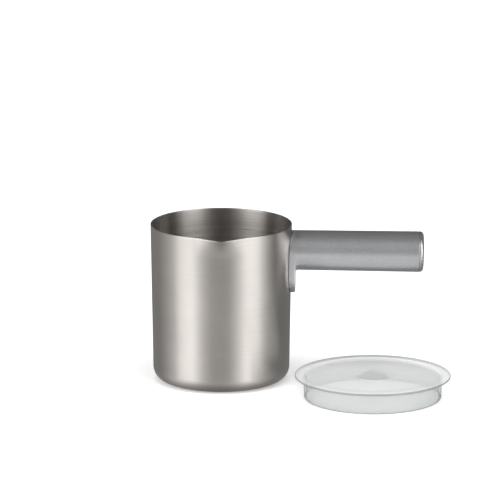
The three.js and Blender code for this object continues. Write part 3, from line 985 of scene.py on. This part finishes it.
# ---------------------------------------------------------------- whisk
@dataclass
class Whisk:
    """The whisk's carrier, its coil, its cover and its bearing sleeve."""

    ring_radius: float = 23 * MM
    ring_wire: float = 1.2 * MM
    spokes: int = 6
    spoke_width: float = 1.5 * MM
    spoke_height: float = 1.6 * MM
    turns_per_spoke: int = 6
    coil_radius: float = 2.6 * MM
    coil_wire: float = 0.45 * MM
    drum_radius: float = 15 * MM
    drum_height: float = 5 * MM
    hub_bore: float = 4.5 * MM
    hub_wall: float = 3 * MM
    flange_room: float = 5.9 * MM
    bearing_bore: float = 2.65 * MM
    bearing_radius: float = 4.25 * MM
    bearing_flange: float = 5.65 * MM
    running_gap: float = 0.25 * MM
    slit_width: float = 0.3 * MM

    @cached_property
    def bottom(self) -> float:
        """Give the height of the drum's underside."""
        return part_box("whisk_carrier")[0].z

    @cached_property
    def middle(self) -> float:
        """Give the height of the ring's centre line."""
        return self.bottom + self.drum_height / 2

    def carrier(self) -> bpy.types.Object:
        """Build the hub, drum, spokes and ring as one moulding.

        The drum has no pockets, so the magnets in it overlap it, out of sight.

        Returns:
            The moulding.
        """
        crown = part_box("whisk_carrier")[1].z
        low = self.bottom
        hub = self.hub_bore + self.hub_wall
        drum_top = low + self.drum_height
        room_top = low + 1.2 * MM
        foot_edge, drum_edge, root, hub_edge = 1 * MM, 1.5 * MM, 1 * MM, 2 * MM
        ceiling = crown - 2 * MM
        profile = [
            (0.0, ceiling),
            (self.hub_bore, ceiling),
            (self.hub_bore, room_top),
            (self.flange_room, room_top),
            (self.flange_room, low),
            *arc((self.drum_radius - foot_edge, low + foot_edge), foot_edge, -90, 0, 6),
            *arc((self.drum_radius - drum_edge, drum_top - drum_edge), drum_edge, 0, 90, 8),
            *arc((hub + root, drum_top + root), root, -90, -180, 6),
            *arc((hub - hub_edge, crown - hub_edge), hub_edge, 0, 90, 10),
            (0.0, crown),
        ]
        body = turned("whisk_carrier_moulding", profile, 128)
        parts = [self.ring()] + [self.spoke(i) for i in range(self.spokes)]
        united(body, parts)
        return body

    def ring(self) -> bpy.types.Object:
        """Build the ring that carries the coil."""
        loop = arc((self.ring_radius, self.middle), self.ring_wire, 0, 360, 16)[:-1]
        return turned("ring", loop, 160)

    def spoke(self, index: int) -> bpy.types.Object:
        """Build one spoke, an oval bar from the drum to the ring.

        Args:
            index: Which spoke it is, counted from +X.

        Returns:
            The spoke.
        """
        start, end = self.drum_radius - 2 * MM, self.ring_radius
        turn = Matrix.Rotation(index * 2 * math.pi / self.spokes, 4, "Z")
        sides = arc((0.0, 0.0), 1.0, 0, 360, 16)[:-1]
        rings: list[Ring] = [[Vector((start, 0, self.middle))]]
        for x in (start, end):
            rings.append(
                [
                    Vector((x, u * self.spoke_width / 2, self.middle + v * self.spoke_height / 2))
                    for u, v in sides
                ]
            )
        rings.append([Vector((end, 0, self.middle))])
        return skin("spoke", rings, turn)

    @cached_property
    def turns(self) -> int:
        """Give how many turns the coil has."""
        return self.spokes * self.turns_per_spoke

    @cached_property
    def slit(self) -> float:
        """Give the angle round the ring that is left open between the wire's ends."""
        return self.slit_width / (self.turns * self.coil_radius)

    def wire_at(self, share: float) -> tuple[Vector, Vector]:
        """Give a place on the coil's wire.

        Args:
            share: How far along the wire it is, from 0 to 1.

        Returns:
            The wire's centre, and the way out of the coil there.
        """
        begin = math.pi / self.spokes + self.slit / 2
        angle = begin + share * (2 * math.pi - self.slit)
        twist = self.turns * angle
        out = Vector((math.cos(angle), math.sin(angle), 0))
        away = out * math.cos(twist) + Vector((0, 0, math.sin(twist)))
        centre = out * self.ring_radius + Vector((0, 0, self.middle)) + away * self.coil_radius
        return centre, away

    def coil(self) -> bpy.types.Object:
        """Build the coil as one wire, its two ends meeting midway between two spokes.

        Returns:
            The coil.
        """
        steps = self.turns * 20
        sides = [2 * math.pi * i / 10 for i in range(10)]
        wire = self.coil_wire
        rings: list[Ring] = []
        for k in range(steps + 1):
            centre, away = self.wire_at(k / steps)
            before, after = self.wire_at((k - 0.01) / steps)[0], self.wire_at((k + 0.01) / steps)[0]
            ahead = (after - before).normalized()
            side = ahead.cross(away).normalized()
            away = side.cross(ahead)
            ring = [centre + wire * (away * math.cos(a) + side * math.sin(a)) for a in sides]
            rings.append(ring)
            if k in (0, steps):
                rings.insert(0 if k == 0 else len(rings), [centre])
        return skin("whisk_coil_wire", rings, sharp=60)

    def cover(self) -> bpy.types.Object:
        """Build the disc that closes the magnets' pockets.

        Returns:
            The cover.
        """
        low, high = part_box("magnet_cover")
        bore = self.bearing_radius + self.running_gap
        edge = 0.25 * MM
        profile = [
            (bore, low.z),
            *arc((high.x - edge, low.z + edge), edge, -90, 0, 4),
            (high.x, high.z),
            (bore, high.z),
        ]
        return turned("magnet_cover_disc", profile, 128)

    def bearing(self) -> bpy.types.Object:
        """Build the sleeve that the whisk turns on.

        Returns:
            The sleeve.
        """
        low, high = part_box("whisk_bush")
        below_flange, flange_height, edge = 1.15 * MM, 1 * MM, 0.2 * MM
        flange_low = low.z + below_flange
        flange_high = flange_low + flange_height
        profile = [
            (self.bearing_bore, low.z),
            (self.bearing_radius, low.z),
            (self.bearing_radius, flange_low),
            (self.bearing_flange, flange_low),
            (self.bearing_flange, flange_high),
            (self.bearing_radius, flange_high),
            *arc((self.bearing_radius - edge, high.z - edge), edge, 0, 90, 3),
            *arc((self.bearing_bore + edge, high.z - edge), edge, 90, 180, 3),
        ]
        return turned("bearing_sleeve", profile, 96)

    def build(self) -> list[bpy.types.Object]:
        """Build and dress the whisk's pieces.

        Returns:
            The carrier, the coil, the cover and the sleeve.
        """
        finish_nodes(NICKEL, (f"whisk_magnet_{i + 1}" for i in range(4)))
        return [
            dress(self.carrier(), BLACK_NYLON, "whisk", "whisk_carrier"),
            dress(self.coil(), BRIGHT_STEEL, "whisk", "whisk_coil"),
            dress(self.cover(), BLACK_NYLON, "whisk", "magnet_cover"),
            dress(self.bearing(), ACETAL, "whisk_bearing", "whisk_bush"),
        ]


# ---------------------------------------------------------------- lid
@dataclass
class Lid:
    """The clear lid, with a milk drop moulded on its panel."""

    skirt_radius: float = 44.6 * MM
    skirt_wall: float = 1.5 * MM
    draft: float = 0.4 * MM
    flange: float = 1.6 * MM
    panel: float = 1.5 * MM
    panel_drop: float = 0.6 * MM
    drop_radius: float = 10 * MM
    drop_height: float = 0.4 * MM
    segments: int = 256

    def place(self) -> Matrix:
        """Give the middle of the lid's foot."""
        low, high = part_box("lid")
        return Matrix.Translation(((low.x + high.x) / 2, (low.y + high.y) / 2, low.z))

    def profile(self) -> list[Point]:
        """Give the lid's section, from under the panel round to its top.

        Returns:
            Points as (radius, height), from the lid's foot.
        """
        low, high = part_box("lid")
        height, radius = high.z - low.z, (high.x - low.x) / 2
        panel_top = height - self.panel_drop
        under = panel_top - self.panel
        inner = self.skirt_radius - self.skirt_wall
        foot = self.skirt_radius - self.draft
        edge = self.flange / 2
        root = soft = 0.5 * MM
        tip, step = self.skirt_wall / 2, 0.3 * MM
        return [
            (0.0, under),
            *spaced((0.0, under), (inner - soft, under), 6),
            *arc((inner - soft, under - soft), soft, 90, 0, 6),
            *arc((foot - tip, tip), tip, 180, 360, 12),
            *arc((self.skirt_radius + root, height - self.flange - root), root, 180, 90, 6),
            *arc((radius - edge, height - edge), edge, -90, 90, 14),
            *arc((inner + self.panel_drop + step, height - step), step, 90, 135, 4),
            *arc((inner, panel_top + step), step, -45, -90, 4),
            *spaced((inner, panel_top), (0.0, panel_top), 6),
            (0.0, panel_top),
        ]

    def drop(self) -> bpy.types.Object:
        """Build the drop as a low block with a rounded top edge, let into the panel.

        Returns:
            The drop, in the lid's own frame.
        """
        low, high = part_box("lid")
        panel_top = high.z - low.z - self.panel_drop
        angle = 30
        reach = self.drop_radius / math.sin(math.radians(angle))
        centre = (self.drop_radius - reach) / 2
        outline = arc((0.0, 0.0), self.drop_radius, 180 - angle, 360 + angle, 72)
        side = spaced(outline[-1], (0.0, reach), 12)
        outline += side + [(0.0, reach)] + [(-u, v) for u, v in reversed(side)]
        top = panel_top + self.drop_height
        edge = 0.15 * MM
        rings: list[Ring] = [[Vector((0, centre, panel_top - self.panel / 2))]]
        for inset, z in ((0.0, panel_top - self.panel / 2), (0.0, top - edge), (edge, top)):
            shrink = 1 - inset / self.drop_radius
            rings.append([Vector((u * shrink, v * shrink + centre, z)) for u, v in outline])
        rings.append([Vector((0, centre, top))])
        return skin("drop", rings, sharp=20)

    def build(self) -> list[bpy.types.Object]:
        """Build and dress the lid.

        Returns:
            The lid.
        """
        body = turned("lid_clear", self.profile(), self.segments, sharp=30)
        united(body, [self.drop()], sharp=30)
        body.data.transform(self.place())
        for finish in (CLEAR_PLASTIC, MARK_PLASTIC, EDGE_SHADE_PLASTIC, SHADED_SKIRT_PLASTIC):
            body.data.materials.append(finish.material())
        low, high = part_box("lid")
        radius = (high.x - low.x) / 2
        middle = self.place().translation.xy
        on_drop = high.z - self.panel_drop + self.drop_height / 2
        under_panel = high.z - self.panel_drop - self.panel - 0.1 * MM
        rim, foot = radius - self.flange * 0.3, low.z + self.skirt_wall * 0.3
        drop_reach = 2.1 * self.drop_radius
        for face in body.data.polygons:
            out = (face.center.xy - middle).length
            # Painted shade: the lid's rim and the skirt's foot take the dark grey edge plastic.
            edge = out > rim or face.center.z < foot
            mark = face.center.z > on_drop and out < drop_reach
            # Painted shade: the skirt's faces take the greyer skirt plastic.
            skirt = face.center.z < under_panel
            face.material_index = 2 if edge else 3 if skirt else int(mark)
        return [dress(body, CLEAR_PLASTIC, "lid", "lid")]


# ---------------------------------------------------------------- studio
# The light's level round the object, row by row: (elevation, ((azimuth, level), ...)), with angles
# in degrees. The levels were chosen to give the steel its two tall bands.
SKY: tuple[tuple[float, tuple[Point, ...]], ...] = (
    (-62, ((-180, 0.10), (180, 0.10))),
    (
        -25,
        (
            (-180, 0.16),
            (-124, 0.17),
            (-104, 0.36),
            (-90, 0.50),
            (-55, 0.42),
            (-36, 0.40),
            (-10, 0.40),
            (6, 0.39),
            (26, 0.46),
            (48, 0.46),
            (64, 0.42),
            (88, 0.30),
            (104, 0.14),
            (180, 0.16),
        ),
    ),
    (
        8,
        (
            (-180, 0.05),
            (-98, 0.12),
            (-84, 0.20),
            (-72, 1.0),
            (-50, 1.4),
            (-32, 0.42),
            (-16, 0.12),
            (0, 0.10),
            (14, 0.12),
            (28, 0.50),
            (42, 1.25),
            (60, 1.15),
            (76, 0.35),
            (88, 0.06),
            (180, 0.05),
        ),
    ),
    (
        40,
        (
            (-180, 0.05),
            (-90, 0.10),
            (-70, 1.2),
            (-45, 1.2),
            (-20, 0.13),
            (0, 0.11),
            (20, 0.13),
            (42, 1.2),
            (64, 1.0),
            (88, 0.08),
            (180, 0.05),
        ),
    ),
    (70, ((-180, 0.07), (180, 0.07))),
)


@dataclass
class Studio:
    """The camera, the floor and the light."""

    eye: Vector = field(default_factory=lambda: Vector((0.0003, -2.801, 0.7392)))
    turn: float = 0.243
    tilt: float = 13.0
    lens: float = 331.5
    sun_strength: float = 1.9
    sun_spread: float = 50.0
    sun_place: Vector = field(default_factory=lambda: Vector((0.15, -0.5, 3.0)))
    aim: Vector = field(default_factory=lambda: Vector((0.03, 0, 0.06)))

    def camera(self) -> None:
        """Place the camera."""
        data = bpy.data.cameras.new("camera")
        data.lens = self.lens
        data.sensor_width = 36
        data.clip_end = 50
        camera = bpy.data.objects.new("camera", data)
        bpy.context.scene.collection.objects.link(camera)
        camera.location = self.eye
        camera.rotation_euler = (math.radians(90 - self.tilt), 0, math.radians(-self.turn))
        bpy.context.scene.camera = camera

    def floor(self) -> None:
        """Lay a plain white floor, lit a little from inside, which metal doesn't mirror."""
        mesh = bpy.data.meshes.new("floor")
        size = 6.0
        corners = [(-size, -size, 0), (size, -size, 0), (size, size, 0), (-size, size, 0)]
        mesh.from_pydata(corners, [], [(0, 1, 2, 3)])
        floor = bpy.data.objects.new("floor", mesh)
        bpy.context.scene.collection.objects.link(floor)
        white = bpy.data.materials.new("floor_white_card")
        white.use_nodes = True
        white.node_tree.nodes.clear()
        card = add_node(
            white.node_tree,
            "BsdfPrincipled",
            {
                "Base Color": linear("#F4F4F4"),
                "Roughness": 1.0,
                "Specular IOR Level": 0.0,
                "Emission Color": linear("#FFFFFF"),
                "Emission Strength": 0.3,
            },
        )
        add_node(white.node_tree, "OutputMaterial", {"Surface": card.outputs[0]})
        mesh.materials.append(white)
        floor.visible_glossy = False

    def sky(self) -> None:
        """Surround the object with two tall soft lights over a pale floor, and a white backdrop.

        Each row of SKY holds the light's level round the object at one height. The rows are blended
        from the lowest to the highest. Azimuth 0 is -Y, and +90 is +X.
        """
        world = bpy.data.worlds.new("studio")
        bpy.context.scene.world = world
        world.use_nodes = True
        tree = world.node_tree
        tree.nodes.clear()
        around = add_node(tree, "TexCoord").outputs["Generated"]
        way = add_node(tree, "SeparateXYZ", {0: around})
        front = add_node(tree, "Math", {0: way.outputs[1], 1: -1.0}, operation="MULTIPLY")
        plane = {0: way.outputs[0], 1: front.outputs[0]}
        angle = add_node(tree, "Math", plane, operation="ARCTAN2")
        ends = {"From Min": -math.pi, "From Max": math.pi}
        share = add_node(tree, "MapRange", {"Value": angle.outputs[0], **ends})
        upward = add_node(tree, "Math", {0: way.outputs[2]}, operation="ARCSINE")
        shade = None
        below = 0.0
        for elevation, levels in SKY:
            ramp = add_node(tree, "ValToRGB", {0: share.outputs[0]})
            shade_ramp(ramp, [(0.5 + azimuth / 360, level) for azimuth, level in levels])
            if shade is None:
                shade = ramp.outputs[0]
            else:
                rise: dict[str | int, Any] = {
                    "From Min": math.radians(below),
                    "From Max": math.radians(elevation),
                }
                rise["Value"] = upward.outputs[0]
                part = add_node(tree, "MapRange", rise, interpolation_type="SMOOTHSTEP")
                blend = {0: part.outputs[0], 6: shade, 7: ramp.outputs[0]}
                shade = add_node(tree, "Mix", blend, data_type="RGBA").outputs[2]
            below = elevation
        light = add_node(tree, "Background", {"Color": shade, "Strength": 2.0})
        backdrop = add_node(tree, "Background", {"Color": linear("#FFFFFF"), "Strength": 1.0})
        seen = add_node(tree, "LightPath").outputs["Is Camera Ray"]
        both = add_node(tree, "MixShader", {0: seen, 1: light.outputs[0], 2: backdrop.outputs[0]})
        add_node(tree, "OutputWorld", {"Surface": both.outputs[0]})

    def sun(self) -> None:
        """Light the floor softly from above, with a sun that metal doesn't mirror."""
        data = bpy.data.lights.new("overhead", "SUN")
        data.energy = self.sun_strength
        data.angle = math.radians(self.sun_spread)
        lamp = bpy.data.objects.new("overhead", data)
        bpy.context.scene.collection.objects.link(lamp)
        lamp.location = self.sun_place
        lamp.rotation_euler = (self.aim - self.sun_place).to_track_quat("-Z", "Y").to_euler()
        lamp.visible_glossy = False
        lamp.visible_transmission = False

    def build(self) -> None:
        """Set up the whole studio."""
        self.camera()
        self.floor()
        self.sky()
        self.sun()
        bpy.context.scene.view_settings.view_transform = "Standard"


def main() -> None:
    """Build the studio and each sub-assembly in turn, and report each piece."""
    logging.basicConfig(level=logging.INFO, format="%(message)s")
    Studio().build()
    low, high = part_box("cup_shell")
    cup = Cup(height=high.z, rim_radius=high.x)
    for maker in (cup, Handle(cup), Whisk(), Lid()):
        for piece in maker.build():
            LOG.info("%s: %d faces", piece.name, len(piece.data.polygons))


if __name__ == "__main__":
    main()
